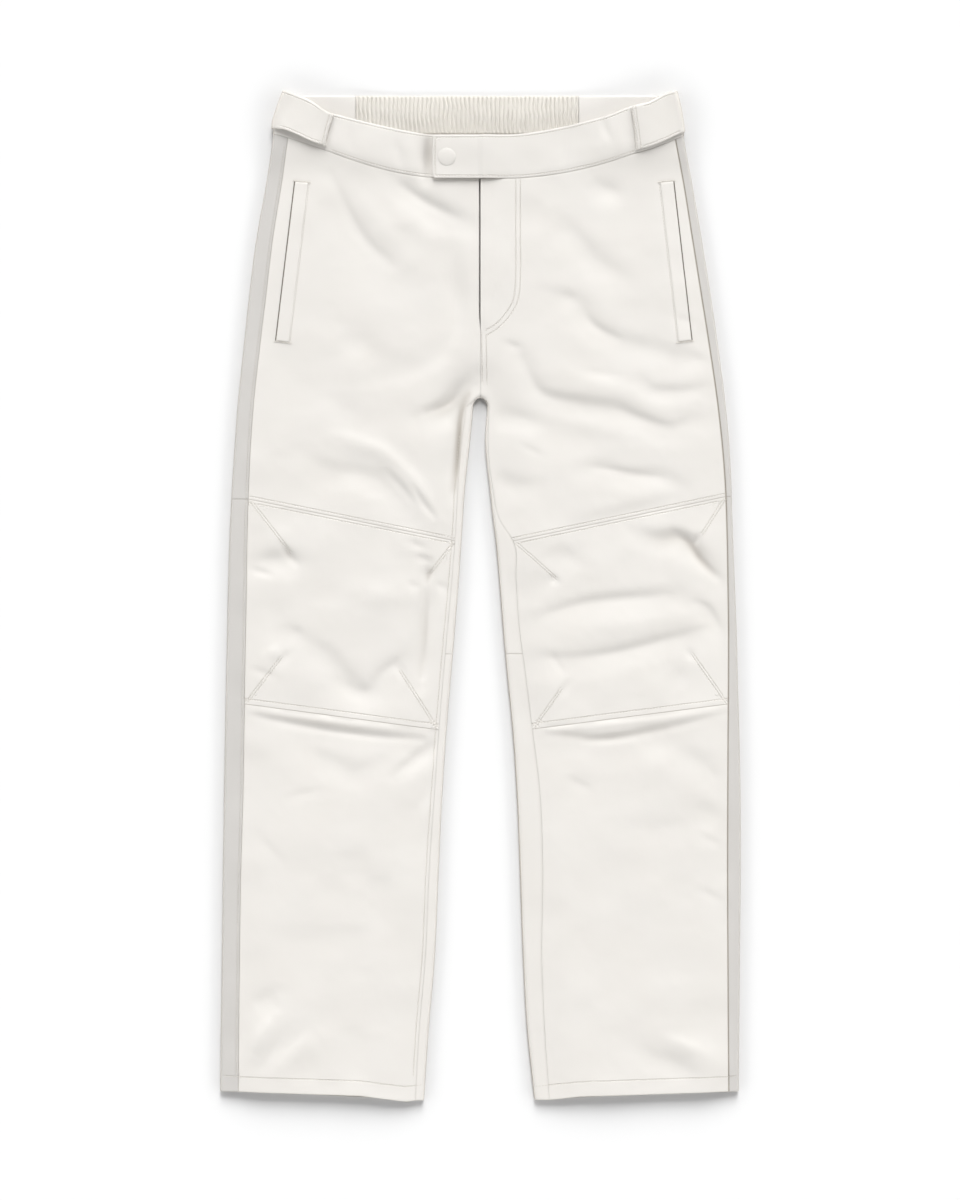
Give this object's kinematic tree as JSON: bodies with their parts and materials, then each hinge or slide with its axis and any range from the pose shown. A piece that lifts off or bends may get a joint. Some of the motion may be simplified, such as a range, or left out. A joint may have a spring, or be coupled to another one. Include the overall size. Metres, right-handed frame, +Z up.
{
  "type": "leather motorcycle pants",
  "caption": "Straight-leg leather motorcycle pants laid flat, with side stripes, darted knee panels, welt pockets, side tabs and an elastic back waist.",
  "frame": {"origin": "centre of the garment's box at the surface it lies on", "axes": "+Y towards the waist, +X towards the wearer's left side, +Z up from the surface, out of the front of the pants"},
  "size_m": [0.5619, 1.09, 0.0165],
  "materials": {
    "leather": "smooth off-white full grain, semi-matt",
    "stripe_leather": "smooth pale grey full grain, semi-matt",
    "gathered_leather": "thin off-white leather gathered on elastic, matt"
  },
  "bodies": {
    "root": {"front_thigh_right": "leather", "front_thigh_left": "leather", "front_knee_right": "leather", "front_knee_left": "leather", "front_shin_right": "leather", "front_shin_left": "leather", "side_stripe_upper_right": "stripe_leather", "side_stripe_upper_left": "stripe_leather", "side_stripe_lower_right": "stripe_leather", "side_stripe_lower_left": "stripe_leather", "back_upper_right": "leather", "back_upper_left": "leather", "back_lower_right": "leather", "back_lower_left": "leather", "waistband_front_right": "leather", "waistband_front_left": "leather", "waistband_back_right": "leather", "waistband_back_left": "leather", "waistband_back_elastic": "gathered_leather", "side_tab_right": "leather", "side_tab_left": "leather", "pocket_welt_right": "leather", "pocket_welt_left": "leather", "snap_button": "leather"}
  },
  "joints": []
}
